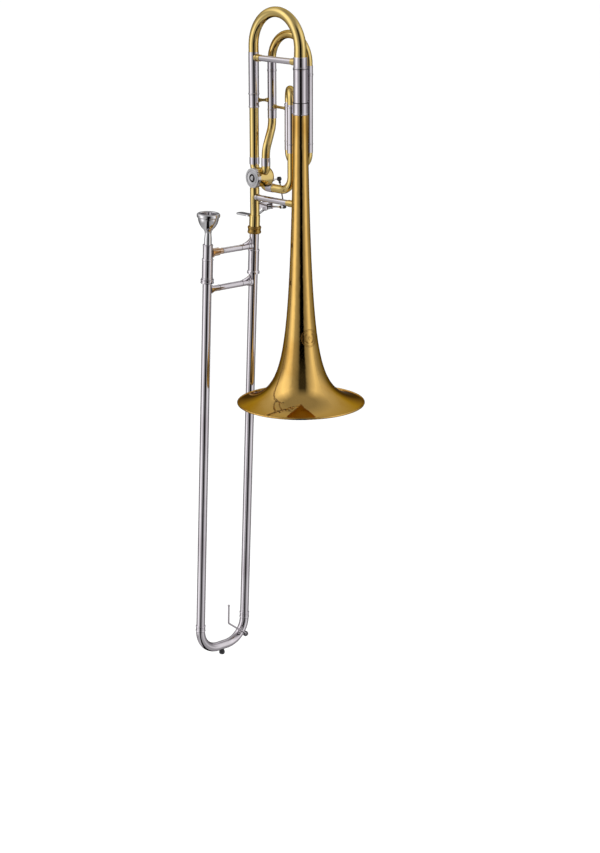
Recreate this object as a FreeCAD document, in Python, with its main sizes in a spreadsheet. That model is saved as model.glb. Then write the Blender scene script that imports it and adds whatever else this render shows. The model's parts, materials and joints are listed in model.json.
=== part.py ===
"""Tenor trombone with a rotary F attachment, hanging bell down with its slide closed.

Millimetres. The origin is the centre of the bell's rim plane, on the bell's axis. +Z runs up the
bell's axis, away from its mouth. The neckpipe is parallel to the bell's axis, on its -X side, and
the F attachment is behind both, on the +Y side. The hand slide hangs from the neckpipe, its tubes
side by side along Y, and leans away from the bell by slide_lean degrees.
"""

import FreeCAD, Part
import math
import os
import Sketcher

Vector = FreeCAD.Vector
Rotation = FreeCAD.Rotation
Placement = FreeCAD.Placement

doc = FreeCAD.newDocument("Trombone")

# ---------------------------------------------------------------- driving dimensions
DIMENSIONS = {
    # bell
    "bell_rim_radius": 108.0,
    "bell_bead_radius": 1.8,
    "bell_wall": 0.8,
    "bell_length": 504.0,
    "flare_constant": 13.0,
    "flare_power": 0.58,
    "flare_offset": 1.35,
    "rim_wire_radius": 1.1,
    # tuning slide, on the bell side and on the neck side
    "tuning_spacing": 115.5,
    "bow_rise": 10.6,
    "bow_foot_height": 578.4,
    "bow_bell_radius": 10.5,
    "bow_neck_radius": 8.4,
    "tube_wall": 0.7,
    "bell_sleeve_radius": 11.7,
    "bell_sleeve_bottom": 505.0,
    "bell_sleeve_top": 559.6,
    "bell_leg_radius": 10.85,
    "neck_sleeve_radius": 8.7,
    "neck_sleeve_bottom": 508.9,
    "neck_leg_radius": 7.85,
    "running_gap": 0.06,
    "bead_width": 1.8,
    "bead_height": 0.5,
    "ferrule_wall": 0.6,
    "upper_pipe_radius": 7.8,
    "upper_pipe_bottom": 394.5,
    "neck_ferrule_bottom": 486.8,
    # rotary valve
    "valve_height": 372.0,
    "port_radius": 14.5,
    "casing_radius": 15.9,
    "casing_front": 15.0,
    "casing_back": 13.0,
    "knuckle_radius": 7.4,
    "passage_radius": 5.6,
    "cap_radius": 16.3,
    "cap_depth": 4.2,
    "spindle_radius": 3.0,
    "stop_radius": 11.0,
    # F attachment
    "attachment_depth": 25.0,
    "riser_offset": 98.4,
    "descender_offset": 8.3,
    "attachment_tube": 6.9,
    "attachment_sleeve": 7.4,
    "attachment_leg": 6.5,
    "attachment_bow_top": 610.0,
    "attachment_ring": 548.0,
    "attachment_bow_foot": 562.4,
    "riser_sleeve_bottom": 468.9,
    "descender_bottom": 421.1,
    "small_front_offset": 22.0,
    "small_back_offset": 52.7,
    "small_back_depth": 22.0,
    "small_sleeve_top": 499.0,
    "return_bend_radius": 25.0,
    # braces
    "brace_radius": 5.0,
    "bell_brace_height": 336.8,
    "tuning_brace_height": 569.5,
    "small_brace_radius": 2.3,
    # neck and hand slide
    "slide_lean": 2.96,
    "lean_height": 311.8,
    "neckpipe_radius": 7.9,
    "slide_spacing": 101.7,
    "inner_tube_radius": 7.0,
    "inner_tube_wall": 0.4,
    "stocking_radius": 7.06,
    "outer_tube_radius": 7.6,
    "outer_tube_bore": 7.12,
    "outer_tube_top": 75.5,
    "outer_tube_end": 744.5,
    "inner_tube_end": 724.0,
    "crook_start": 745.0,
    "crook_bottom": 786.0,
    "crook_radius": 8.0,
    "crook_ferrule": 11.0,
    "barrel_radius": 9.7,
    "barrel_bore": 8.1,
    "receiver_radius": 8.75,
    "hand_brace_distance": 58.5,
    "outer_brace_distance": 121.4,
    "slide_brace_radius": 5.0,
    # thumb lever
    "lever_pivot_offset": 119.5,
    "lever_pivot_height": 316.0,
    "lever_depth": 31.0,
    "link_depth": 34.0,
    "pivot_screw_radius": 1.5,
}


def make_sheet():
    table = doc.addObject("Spreadsheet::Sheet", "Sizes")
    for row, (alias, number) in enumerate(DIMENSIONS.items(), start=1):
        table.set(f"A{row}", alias)
        table.set(f"B{row}", str(number))
        table.setAlias(f"B{row}", alias)
    doc.recompute()
    return table


sheet = make_sheet()


class Length:
    """A length with the sheet expression that gives it, so that sums stay bound to the sheet."""

    def __init__(self, number, text=None):
        self.number = float(number)
        self.text = text or f"{float(number):.6f}"

    def combine(self, sign, other, number):
        return Length(number, f"({self.text} {sign} {as_length(other).text})")

    def __add__(self, other):
        return self.combine("+", other, self.number + as_length(other).number)

    def __radd__(self, other):
        return as_length(other) + self

    def __sub__(self, other):
        return self.combine("-", other, self.number - as_length(other).number)

    def __rsub__(self, other):
        return as_length(other) - self

    def __mul__(self, factor):
        return self.combine("*", factor, self.number * as_length(factor).number)


def as_length(value):
    return value if isinstance(value, Length) else Length(value)


def size(alias):
    """The length in the sheet's cell of that alias."""
    return Length(sheet.get(alias), f"Sizes.{alias}")


def bind(thing, field, value):
    """Set a property and bind it to the sheet when its value comes from there."""
    length = as_length(value)
    setattr(thing, field, length.number)
    if "Sizes." in length.text:
        thing.setExpression(field, length.text)


# ---------------------------------------------------------------- places
UPRIGHT = Rotation()
ALONG_X = Rotation(Vector(0, 1, 0), 90)
ALONG_Y = Rotation(Vector(1, 0, 0), -90)

LEAN = size("slide_lean").number
LEAN_TOP = Vector(-size("tuning_spacing").number, 0, size("lean_height").number)
DOWN_SLIDE = Vector(-math.sin(math.radians(LEAN)), 0, -math.cos(math.radians(LEAN)))
SLIDE_ROTATION = Rotation(Vector(0, 1, 0), 180 + LEAN)
MOUTH_SIDE = -size("slide_spacing").number
NECK_SIDE = 0.0


def at(x, y, z, rotation=UPRIGHT):
    return Placement(Vector(x, y, z), rotation)


def on_slide(y, distance, turn=UPRIGHT):
    """A place on the hand slide: local +Z runs down the slide and local +Y stays world +Y."""
    base = LEAN_TOP + DOWN_SLIDE * distance + Vector(0, y, 0)
    return Placement(base, SLIDE_ROTATION.multiply(turn))


# ---------------------------------------------------------------- ways of making a piece
parts = []


def keep(thing, label, placement=None):
    """Record a finished sub-part under its own label and place."""
    thing.Label = label
    if placement is not None:
        thing.Placement = placement
    parts.append(thing)
    return thing


def primitive(kind, name, **fields):
    thing = doc.addObject(f"Part::{kind}", name)
    for field, value in fields.items():
        bind(thing, field, value)
    return thing


def cylinder(name, radius, height, place=None):
    rod = primitive("Cylinder", name, Radius=radius, Height=height)
    if place is not None:
        rod.Placement = place
    return rod


def torus(name, ring, tube, place=None, sweep=360):
    bend = primitive("Torus", name, Radius1=ring, Radius2=tube, Angle3=sweep)
    if place is not None:
        bend.Placement = place
    return bend


def group(label, pieces):
    """One node for paired or identical pieces, which stay separate solids in it."""
    for piece in pieces:
        parts.remove(piece)
    bundle = doc.addObject("Part::Compound", f"{label}_group")
    bundle.Links = pieces
    return keep(bundle, label)


def box(name, low, high):
    """A box between two corners."""
    length, width, height = (top - bottom for bottom, top in zip(low, high))
    brick = primitive("Box", name, Length=length, Width=width, Height=height)
    brick.Placement = at(*low)
    return brick


def fuse(name, shapes):
    joined = doc.addObject("Part::MultiFuse", name)
    joined.Shapes = shapes
    return joined


def cut(name, base, tools):
    """Base with every tool taken away."""
    for number, tool in enumerate(tools, start=1):
        result = doc.addObject("Part::Cut", f"{name}_cut_{number}")
        result.Base = base
        result.Tool = tool
        base = result
    return base


def tube(label, outer, inner, length, placement):
    """A straight open tube."""
    wall = cylinder(f"{label}_outside", outer, length)
    bore = cylinder(f"{label}_bore", inner, length)
    return keep(cut(label, wall, [bore]), label, placement)


def turned(label, outline):
    """A PartDesign body turned about its Z axis from a closed outline of (radius, height) corners."""
    body = doc.addObject("PartDesign::Body", f"{label}_body")
    sketch = body.newObject("Sketcher::SketchObject", f"{label}_outline")
    plane = next(f for f in body.Origin.OriginFeatures if f.Role == "XZ_Plane")
    sketch.AttachmentSupport = [(plane, "")]
    sketch.MapMode = "FlatFace"
    corners = [(as_length(radius), as_length(height)) for radius, height in outline]
    for number, (radius, height) in enumerate(corners):
        following = corners[(number + 1) % len(corners)]
        start = Vector(radius.number, height.number, 0)
        end = Vector(following[0].number, following[1].number, 0)
        sketch.addGeometry(Part.LineSegment(start, end), False)
    for number in range(len(corners)):
        sketch.addConstraint(Sketcher.Constraint("Coincident", number, 2, (number + 1) % len(corners), 1))
    for number, corner in enumerate(corners):
        for direction, length in zip(("DistanceX", "DistanceY"), corner):
            constraint = Sketcher.Constraint(direction, -1, 1, number, 1, length.number)
            index = sketch.addConstraint(constraint)
            if "Sizes." in length.text:
                sketch.setExpression(f"Constraints[{index}]", length.text)
    revolution = body.newObject("PartDesign::Revolution", f"{label}_turned")
    revolution.Profile = sketch
    revolution.ReferenceAxis = (sketch, ["V_Axis"])
    revolution.Angle = 360
    return body


def ring(label, outline, placement):
    """A turned piece in its place."""
    return keep(turned(label, outline), label, placement)


def rounded_path(points, radius):
    """A wire of straight runs joined by tangent arcs of one radius."""
    edges = []
    start = points[0]
    for before, corner, after in zip(points, points[1:], points[2:]):
        back = (before - corner).normalize()
        ahead = (after - corner).normalize()
        half_turn = (math.pi - back.getAngle(ahead)) / 2
        tangent = radius * math.tan(half_turn)
        middle = (back + ahead).normalize() * (radius / math.cos(half_turn) - radius)
        arc_start = corner + back * tangent
        arc_end = corner + ahead * tangent
        edges.append(Part.LineSegment(start, arc_start).toShape())
        edges.append(Part.Arc(arc_start, corner + middle, arc_end).toShape())
        start = arc_end
    edges.append(Part.LineSegment(start, points[-1]).toShape())
    return Part.Wire(edges)


def u_path(foot, across, rise, drop):
    """A wire up one leg, round a half circle and down the other: rise is the way the bow points."""
    start = foot
    reach = across.Length / 2
    top = foot + rise * drop
    middle = top + across * 0.5 + rise * reach
    end = top + across
    legs = [Part.LineSegment(start, top).toShape(), Part.LineSegment(end, end - rise * drop).toShape()]
    return Part.Wire([legs[0], Part.Arc(top, middle, end).toShape(), legs[1]])


def swept(path, radius):
    """A solid round rod along a wire."""
    start = path.OrderedVertexes[0].Point
    tangent = path.OrderedEdges[0].tangentAt(path.OrderedEdges[0].FirstParameter)
    circle = Part.Wire(Part.makeCircle(radius, start, tangent))
    return path.makePipeShell([circle], True, False)


def shaped(label, shape, placement=None):
    """A sub-part whose shape comes straight from Part's functions."""
    thing = doc.addObject("Part::Feature", label)
    thing.Shape = shape
    return keep(thing, label, placement)


def bent_tube(label, path, radius, wall):
    return shaped(label, swept(path, radius).cut(swept(path, radius - wall)))


# ---------------------------------------------------------------- bell
def flare_radius(height):
    """Outside radius of the bell: a power law that opens out to the rim."""
    constant = size("flare_constant").number
    offset = size("flare_offset").number
    mouth = size("bell_rim_radius").number + offset
    return mouth * (constant / (height + constant)) ** size("flare_power").number - offset


def flare_curve(inset):
    """The bell's outside line, or a line inside it by inset, from the rim to the small end."""
    length = size("bell_length").number
    bead = size("bell_bead_radius").number
    points = []
    stations = 20
    for station in range(stations + 1):
        height = (length - 1) * (station / stations) ** 2.6
        slope = flare_radius(height + 0.5) - flare_radius(height)
        normal = Vector(0.5, 0, -slope).normalize()
        points.append(Vector(flare_radius(height), 0, height + bead) - normal * inset)
    points[-1].z = length
    curve = Part.BSplineCurve()
    curve.interpolate(points)
    return curve.toShape(), points[0], points[-1]


def make_bell():
    bead_radius = size("bell_bead_radius").number
    bead_ring = size("bell_rim_radius").number - bead_radius
    outside, outer_rim, outer_end = flare_curve(0)
    inside, inner_rim, inner_end = flare_curve(size("bell_wall").number)
    edges = [outside, Part.makeLine(outer_end, inner_end), inside, Part.makeLine(inner_rim, outer_rim)]
    face = Part.Face(Part.Wire(Part.__sortEdges__(edges)))
    cone = face.revolve(Vector(0, 0, 0), Vector(0, 0, 1), 360)
    shell = cone if cone.ShapeType == "Solid" else Part.makeSolid(cone)
    bead = Part.makeTorus(bead_ring, bead_radius, Vector(0, 0, bead_radius))
    wire_space = Part.makeTorus(bead_ring, size("rim_wire_radius").number + 0.02, Vector(0, 0, bead_radius))
    trim = Part.makeCylinder(bead_ring, size("bell_length").number + 10, Vector(0, 0, -5))
    shaped("bell", shell.common(trim).fuse(bead).cut(wire_space))
    wire = torus("rim_wire", bead_ring, size("rim_wire_radius"))
    keep(wire, "rim_wire", at(0, 0, bead_radius))


def make_bell_ferrule_and_sleeve():
    stem = flare_radius(485.0) + 0.05
    bottom = 485.5
    seat = size("bell_sleeve_bottom") - bottom
    wall = stem + size("ferrule_wall")
    rim = wall + 0.35
    outline = [(stem, 0), (wall, 0), (rim, 1.0), (rim, 2.4), (wall, 3.2), (wall, seat), (stem, seat)]
    ring("bell_ferrule", outline, at(0, 0, bottom))
    outer = size("bell_sleeve_radius")
    bore = size("bell_leg_radius") + size("running_gap")
    length = size("bell_sleeve_top") - size("bell_sleeve_bottom")
    bead = outer + size("bead_height")
    lip = length - size("bead_width")
    outline = [(bore, 0), (outer, 0), (outer, lip - 0.5), (bead, lip), (bead, length), (bore, length)]
    ring("bell_side_tuning_sleeve", outline, at(0, 0, size("bell_sleeve_bottom").number))


# ---------------------------------------------------------------- main tuning slide
def make_tuning_slide():
    neck_x = -size("tuning_spacing").number
    foot = size("bow_foot_height")
    rise = size("bow_rise").number
    reach = -neck_x / 2
    bell_radius = size("bow_bell_radius").number
    neck_radius = size("bow_neck_radius").number
    base = foot.number
    path = u_path(Vector(0, 0, base), Vector(neck_x, 0, 0), Vector(0, 0, 1), rise)

    def tapered(inset):
        up = Vector(0, 0, 1)
        apex = Vector(neck_x / 2, 0, base + rise + reach)
        stations = [
            (Vector(0, 0, base), up, bell_radius),
            (apex, Vector(-1, 0, 0), neck_radius + 0.2),
            (Vector(neck_x, 0, base), up, neck_radius),
        ]
        circles = [Part.Wire(Part.makeCircle(r - inset, p, d)) for p, d, r in stations]
        pipe = Part.BRepOffsetAPI.MakePipeShell(path)
        for circle in circles:
            pipe.add(circle)
        pipe.build()
        pipe.makeSolid()
        return pipe.shape()

    shaped("tuning_bow", tapered(0).cut(tapered(size("tube_wall").number)))

    wall = size("neck_sleeve_radius")
    bore = size("neck_leg_radius") + size("running_gap")
    length = foot - size("neck_sleeve_bottom")
    bead = wall + size("bead_height")
    width = size("bead_width")
    outline = [(bore, 0), (bead, 0), (bead, width), (wall, width + 0.5), (wall, length), (bore, length)]
    ring("tuning_neck_sleeve", outline, at(neck_x, 0, size("neck_sleeve_bottom").number))

    ferrule_foot = size("bell_sleeve_top") + 0.2
    length = foot - ferrule_foot
    leg = size("bell_leg_radius")
    wall = leg + size("ferrule_wall")
    bead = wall + size("bead_height")
    outline = [
        (leg, 0),
        (bead, 0),
        (bead, width),
        (wall, width + 0.5),
        (wall, length - 1),
        (wall - 0.5, length),
    ]
    outline += [(leg - 1, length), (leg - 1, length - 1.5), (leg, length - 1.5)]
    ring("tuning_bell_ferrule", outline, at(0, 0, ferrule_foot.number))
    leg_foot = 510.0
    leg_top = foot.number - 1.6
    tube("tuning_bell_leg", leg, leg - size("tube_wall"), leg_top - leg_foot, at(0, 0, leg_foot))
    brace(
        "tuning_slide_brace",
        Vector(neck_x, 0, size("tuning_brace_height").number),
        Vector(0, 0, size("tuning_brace_height").number),
        size("brace_radius"),
        (size("neck_sleeve_radius"), wall),
        (1.3, 1.3),
    )


def brace(
    label, start, end, radius, tube_radii, flange_factors, across=Vector(0, 0, 1), flange_lengths=(9, 9)
):
    """A round cross brace between two tubes, with a flange at each end cut to the tube it meets.

    start and end are on the tubes' axes, across is the tubes' direction.
    """
    span = (end - start).Length
    seats = [as_length(r) + 0.02 for r in tube_radii]
    first, last = flange_factors
    near, far = flange_lengths
    near_seat = seats[0].number * 0.75
    far_seat = span - seats[1].number * 0.75
    near_end = seats[0].number + near
    far_end = span - seats[1].number - far
    outline = [
        (0, near_seat),
        (radius * first, near_seat),
        (radius * first, seats[0].number + 1.2),
        (radius * (1 + (first - 1) * 0.45), seats[0].number + 2.2),
        (radius * (1 + (first - 1) * 0.45), near_end),
        (radius, near_end + 0.6),
        (radius, far_end - 0.6),
        (radius * (1 + (last - 1) * 0.45), far_end),
        (radius * (1 + (last - 1) * 0.45), span - seats[1].number - 2.2),
        (radius * last, span - seats[1].number - 1.2),
        (radius * last, far_seat),
        (0, far_seat),
    ]
    rod = turned(label, outline)
    reach = 60
    near_tube = cylinder(f"{label}_near_tube", seats[0], reach, at(-reach / 2, 0, 0, ALONG_X))
    far_tube = cylinder(f"{label}_far_tube", seats[1], reach, at(-reach / 2, 0, span, ALONG_X))
    shape = cut(label, rod, [near_tube, far_tube])
    axis = (end - start).normalize()
    turn = Rotation(across, axis.cross(across), axis, "ZXY")
    return keep(shape, label, Placement(start, turn))


# ---------------------------------------------------------------- neck above the valve
def make_upper_neck():
    neck_x = -size("tuning_spacing").number
    leg = size("neck_leg_radius")
    ferrule_foot = size("neck_ferrule_bottom")
    split = size("neck_ferrule_bottom") + 5
    leg_top = size("bow_foot_height").number - 4
    tube("neck_tuning_leg", leg, leg - size("tube_wall"), leg_top - split.number, at(neck_x, 0, split.number))
    length = size("neck_sleeve_bottom") - ferrule_foot - 0.2
    bore = leg + 0.02
    wall = leg + size("ferrule_wall")
    rim = wall + 0.4
    outline = [(bore, 0), (wall, 0), (rim, 0.8), (rim, 2.2), (wall, 3), (wall, length), (bore, length)]
    ring("neck_tuning_ferrule", outline, at(neck_x, 0, ferrule_foot.number))
    pipe = size("upper_pipe_radius")
    bottom = size("upper_pipe_bottom").number
    tube("upper_neckpipe", pipe, pipe - size("tube_wall"), split.number - bottom, at(neck_x, 0, bottom))
    return port_ferrule("neck_valve_ferrule", neck_x, pipe, 11.5)


def port_ferrule(label, x, pipe, length):
    """A ferrule on one of the valve's upper ports: it stands on the knuckle and holds the pipe's end."""
    foot = size("valve_height").number + size("port_radius").number * math.sqrt(2)
    step = size("upper_pipe_bottom").number - foot
    bore = size("passage_radius")
    wall = pipe + size("ferrule_wall")
    socket = pipe + 0.02
    outline = [(bore, 0), (wall, 0), (wall, length - 0.6), (wall - 0.3, length), (socket, length)]
    outline += [(socket, step), (bore, step)]
    return ring(label, outline, at(x, 0, foot))


# ---------------------------------------------------------------- rotary valve
def valve_centre():
    x = size("port_radius").number - size("tuning_spacing").number
    return Vector(x, 0, size("valve_height").number)


def make_valve():
    centre = valve_centre()
    port = size("port_radius")
    offset = port.number * math.sqrt(2)
    front = size("casing_front")
    length = front + size("casing_back")
    outside = cylinder("casing_outside", size("casing_radius"), length, at(0, -front.number, 0, ALONG_Y))
    knuckles = []
    bores = []
    bend_starts = [(0, offset, 180), (0, offset, 315), (0, -offset, 135), (offset, 0, 225)]
    for number, (x, z, low) in enumerate(bend_starts, start=1):
        turn = Rotation(Vector(1, 0, 0), 90).multiply(Rotation(Vector(0, 0, 1), low))
        place = at(x, 0, z, turn)
        knuckles.append(torus(f"knuckle_{number}", port, size("knuckle_radius"), place, 45))
        bores.append(torus(f"knuckle_bore_{number}", port, size("passage_radius"), place, 45))
    chamber = cylinder("casing_chamber", port, length + 2, at(0, -front.number - 1, 0, ALONG_Y))
    body = fuse("casing_body", [outside] + knuckles)
    keep(cut("valve_casing", body, [chamber] + bores), "valve_casing", at(*centre))

    gap = size("running_gap")
    core = cylinder("rotor_core", port - gap, 22.4, at(0, -12, 0, ALONG_Y))
    spindle = cylinder("rotor_spindle", size("spindle_radius"), 37, at(0, -14.5, 0, ALONG_Y))
    passages = [
        torus(f"rotor_passage_{number}", port, size("passage_radius"), at(side * offset, 0, 0, ALONG_Y))
        for number, side in enumerate((-1, 1), start=1)
    ]
    keep(cut("rotor", fuse("rotor_blank", [core, spindle]), passages), "rotor", at(*centre))

    cap = size("cap_radius")
    depth = size("cap_depth")
    hub = size("spindle_radius") + gap
    skirt = size("casing_radius") + 0.02
    outline = [
        (0, 0),
        (3.2, 0),
        (4.0, 0.8),
        (4.6, 1.5),
        (6.4, 1.5),
        (7.0, 0.9),
        (11.2, 0.7),
        (11.6, 1.1),
        (12.2, 1.1),
        (12.6, 0.6),
        (cap - 0.6, 0.6),
        (cap, 1.2),
        (cap, depth + 3),
        (skirt, depth + 3),
        (skirt, depth),
        (0, depth),
    ]
    ring("valve_cap", outline, at(centre.x, -front.number - depth.number, centre.z, ALONG_Y))

    bearing = [
        (hub, 0),
        (port - 0.05, 0),
        (port - 0.05, 2.5),
        (skirt - 0.4, 2.5),
        (skirt - 0.4, 4.5),
        (8.5, 4.5),
    ]
    bearing += [(7.5, 6.0), (hub, 6.0)]
    back = size("casing_back").number
    ring("valve_back_bearing", bearing, at(centre.x, back - 2.5, centre.z, ALONG_Y))


def polar(radius, degrees):
    """A point around the valve's axis, x towards the bell and z up."""
    angle = math.radians(degrees)
    return radius * math.cos(angle), radius * math.sin(angle)


def make_stop_arm():
    """The arm on the spindle's end: a ball pin for the link one way, a stop finger the other."""
    centre = valve_centre()
    radius = size("stop_radius").number
    low, high = 18.0, 21.5
    bore = cylinder("stop_bore", size("spindle_radius") + 0.02, 10, at(0, low - 2, 0, ALONG_Y))
    hub = cylinder("stop_hub", 5.2, high - low, at(0, low, 0, ALONG_Y))
    pin_x, pin_z = polar(radius, -30)
    eye = cylinder("stop_eye", 2.8, high - low, at(pin_x, low, pin_z, ALONG_Y))
    pin = cylinder("stop_pin", 1.2, 7.5, at(pin_x, high - 0.5, pin_z, ALONG_Y))
    arm = box("stop_link_arm", (0, low, -2.0), (radius, high, 2.0))
    arm.Placement = at(0, 0, 0, Rotation(Vector(0, 1, 0), 30)).multiply(at(0, low, -2.0))
    finger = box("stop_finger", (0, low, -1.6), (12.5, high, 1.6))
    finger.Placement = at(0, 0, 0, Rotation(Vector(0, 1, 0), 210)).multiply(at(0, low, -1.6))
    blank = fuse("stop_arm_blank", [hub, eye, pin, arm, finger])
    keep(cut("stop_arm", blank, [bore]), "stop_arm", at(*centre))
    screw = [(0, 0), (2.6, 0), (2.6, 1.6), (1.9, 2.4), (0, 2.4)]
    ring("stop_screw", screw, at(centre.x, 22.5, centre.z, ALONG_Y))

    bumpers = []
    posts = []
    for number, degrees in enumerate((122.5, 267.5), start=1):
        x, z = polar(radius, degrees)
        bumpers.append(cylinder(f"bumper_{number}", 2.6, 3.4, at(x, low, z, ALONG_Y)))
        posts.append((x, z))
    keep(fuse("stop_bumpers_pair", bumpers), "stop_bumpers", at(*centre))
    feet = [
        cylinder(f"bumper_post_{n}", 3.2, 0.4, at(x, 17.55, z, ALONG_Y)) for n, (x, z) in enumerate(posts)
    ]
    plate = cylinder("stop_plate_disc", 14.6, 0.45, at(0, 17.53, 0, ALONG_Y))
    hole = cylinder("stop_plate_hole", 8.7, 3, at(0, 16.5, 0, ALONG_Y))
    keep(cut("stop_plate", fuse("stop_plate_blank", [plate] + feet), [hole]), "stop_plate", at(*centre))


# ---------------------------------------------------------------- F attachment
def attachment_points():
    depth = size("attachment_depth").number
    return {
        "riser": Vector(-size("riser_offset").number, depth, 0),
        "descender": Vector(-size("descender_offset").number, depth, 0),
        "front": Vector(-size("small_front_offset").number, 0, 0),
        "back": Vector(-size("small_back_offset").number, size("small_back_depth").number, 0),
    }


def raised(point, height):
    return Vector(point.x, point.y, height)


def sleeve(label, point, bottom, top, pipe_end):
    """An outer slide sleeve: a socket for the brass pipe below pipe_end, a bore for the leg above."""
    wall = size("attachment_sleeve")
    socket = size("attachment_tube") + 0.02
    bore = size("attachment_leg") + size("running_gap")
    bead = wall + size("bead_height")
    length = top - bottom
    step = pipe_end - bottom
    outline = [
        (socket, 0),
        (wall, 0),
        (wall, 13.2),
        (bead, 13.6),
        (bead, 14.8),
        (wall, 15.2),
        (wall, length - 2.2),
        (bead, length - 1.8),
        (bead, length),
        (bore, length),
        (bore, step),
        (socket, step),
    ]
    return ring(label, outline, at(point.x, point.y, bottom))


def slide_leg(label, point, foot, top):
    leg = size("attachment_leg")
    return tube(label, leg, leg - size("tube_wall"), top - foot, at(point.x, point.y, foot))


def bow_ferrule(label, point, foot, top):
    """A ferrule that joins a slide's bow to its leg."""
    leg = size("attachment_leg") + 0.02
    socket = size("attachment_tube") + 0.02
    wall = size("attachment_sleeve")
    bead = wall + size("bead_height")
    length = top - foot
    outline = [(leg, 0), (bead, 0), (bead, 1.6), (wall, 2.0), (wall, length), (socket, length)]
    outline += [(socket, length - 6), (leg, length - 6)]
    return ring(label, outline, at(point.x, point.y, foot))


def make_attachment(neck_ferrule):
    points = attachment_points()
    pipe = size("attachment_tube").number
    wall = size("tube_wall").number
    ring_height = size("attachment_ring").number
    bow_foot = size("attachment_bow_foot").number
    riser_foot = size("riser_sleeve_bottom").number
    port_x = valve_centre().x + size("port_radius").number
    pipe_foot = size("upper_pipe_bottom").number
    up = Vector(0, 0, 1)

    riser_ferrule = port_ferrule("attachment_valve_ferrule", port_x, size("attachment_tube"), 13.3)
    route = [Vector(port_x, 0, pipe_foot), Vector(port_x, 0, 418), raised(points["riser"], 456)]
    route.append(raised(points["riser"], riser_foot + 5))
    bent_tube("attachment_riser", rounded_path(route, 34), pipe, wall)
    foot = size("descender_bottom").number
    riser_sleeve = sleeve("riser_slide_sleeve", points["riser"], riser_foot, ring_height, riser_foot + 5)
    down_sleeve = sleeve("descender_slide_sleeve", points["descender"], foot, ring_height, foot + 5)
    group("attachment_slide_sleeves", [riser_sleeve, down_sleeve])

    span = points["descender"] - points["riser"]
    drop = size("attachment_bow_top").number - span.Length / 2 - bow_foot + 6
    bow = u_path(raised(points["riser"], bow_foot - 6), span, up, drop)
    bent_tube("attachment_slide_bow", bow, pipe, wall)
    sides = ("riser", "descender")
    ferrule_foot = ring_height + 0.2
    group("attachment_bow_ferrules",
          [bow_ferrule(f"{side}_bow_ferrule", points[side], ferrule_foot, bow_foot) for side in sides])
    group("attachment_slide_legs",
          [slide_leg(f"{side}_slide_leg", points[side], ring_height - 66, bow_foot - 6) for side in sides])

    across = points["back"] - points["descender"]
    lower = u_path(raised(points["descender"], foot + 5), across, -up, 7)
    bent_tube("attachment_lower_bow", lower, pipe, wall)

    small_top = size("small_sleeve_top").number
    sides = ("back", "front")
    group("small_slide_sleeves",
          [sleeve(f"small_{side}_sleeve", points[side], foot, small_top - 2, foot + 5) for side in sides])
    across = points["front"] - points["back"]
    small_bow = u_path(raised(points["back"], small_top + 1), across, up, 3)
    bent_tube("small_slide_bow", small_bow, pipe, wall)
    group("small_slide_legs",
          [slide_leg(f"small_{side}_leg", points[side], small_top - 50, small_top + 1) for side in sides])

    height = size("valve_height").number - size("port_radius").number
    elbow_x = valve_centre().x + size("port_radius").number * math.sqrt(2)
    corner = Vector(points["front"].x, 0, height)
    route = [Vector(elbow_x + 2, 0, height), corner, raised(points["front"], foot + 5)]
    bent_tube("return_bend", rounded_path(route, size("return_bend_radius").number), pipe, wall)
    socket = size("attachment_tube") + 0.02
    cover = socket + size("ferrule_wall")
    bore = size("passage_radius")
    outline = [
        (bore, 0),
        (cover, 0),
        (cover, 13),
        (cover - 0.3, 13.6),
        (socket, 13.6),
        (socket, 2),
        (bore, 2),
    ]
    elbow_ferrule = ring("return_bend_ferrule", outline, at(elbow_x, 0, height, ALONG_X))
    group("valve_ferrules", [neck_ferrule, riser_ferrule, elbow_ferrule])

    thin = size("small_brace_radius")
    pipe_wall = size("attachment_sleeve")
    neck = Vector(-size("tuning_spacing").number, 0, 0)
    neck_wall = size("neck_leg_radius") + size("ferrule_wall")
    upper = brace("neck_to_riser_brace", raised(neck, 499), raised(points["riser"], 499), thin,
                  (neck_wall, pipe_wall), (1.6, 1.6), flange_lengths=(4, 4))
    lower = brace("riser_to_small_slide_brace", raised(points["riser"], 488.5), raised(points["back"], 488.5),
                  thin, (pipe_wall, pipe_wall), (1.6, 1.6), flange_lengths=(5, 5))
    group("attachment_braces", [upper, lower])
    bell_brace_height = size("bell_brace_height").number
    brace(
        "bell_brace",
        raised(neck, bell_brace_height),
        Vector(0, 0, bell_brace_height),
        size("brace_radius"),
        (size("neckpipe_radius"), flare_radius(bell_brace_height - 9)),
        (1.25, 1.4),
        flange_lengths=(3, 14),
    )


# ---------------------------------------------------------------- neck below the valve
def make_lower_neck():
    neck_x = -size("tuning_spacing").number
    pipe = size("neckpipe_radius").number
    top = size("valve_height").number - size("port_radius").number * math.sqrt(2)
    route = [Vector(neck_x, 0, top), LEAN_TOP, LEAN_TOP + DOWN_SLIDE * 14]
    bent_tube("lower_neckpipe", rounded_path(route, 120), pipe, size("tube_wall").number)
    socket = pipe + 0.15
    outline = [
        (socket, 0),
        (8.8, 0),
        (9.1, 0.6),
        (9.1, 26),
        (8.6, 27),
        (7.6, 27),
        (7.6, 8.5),
        (socket, 8.5),
    ]
    ring("neck_receiver", outline, on_slide(0, 6))


def knurled_nut():
    """The lock nut: a barrel with flutes round it and a lip that catches the tenon's collar."""
    outline = [
        (9.22, 0),
        (10.6, 0),
        (11.4, 0.9),
        (11.6, 3.0),
        (10.9, 4.2),
        (10.9, 7.8),
        (11.6, 9.0),
        (11.4, 11.1),
        (10.6, 12.0),
        (8.2, 12.0),
        (8.2, 10.6),
        (9.22, 10.6),
    ]
    blank = turned("lock_nut", outline)
    flutes = []
    count = 24
    for number in range(count):
        x, y = polar(12.1, number * 360 / count)
        flutes.append(cylinder(f"flute_{number}", 0.8, 14, at(x, y, -1)))
    keep(cut("lock_nut", blank, [fuse("lock_nut_flutes", flutes)]), "lock_nut", on_slide(0, 25))


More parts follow.
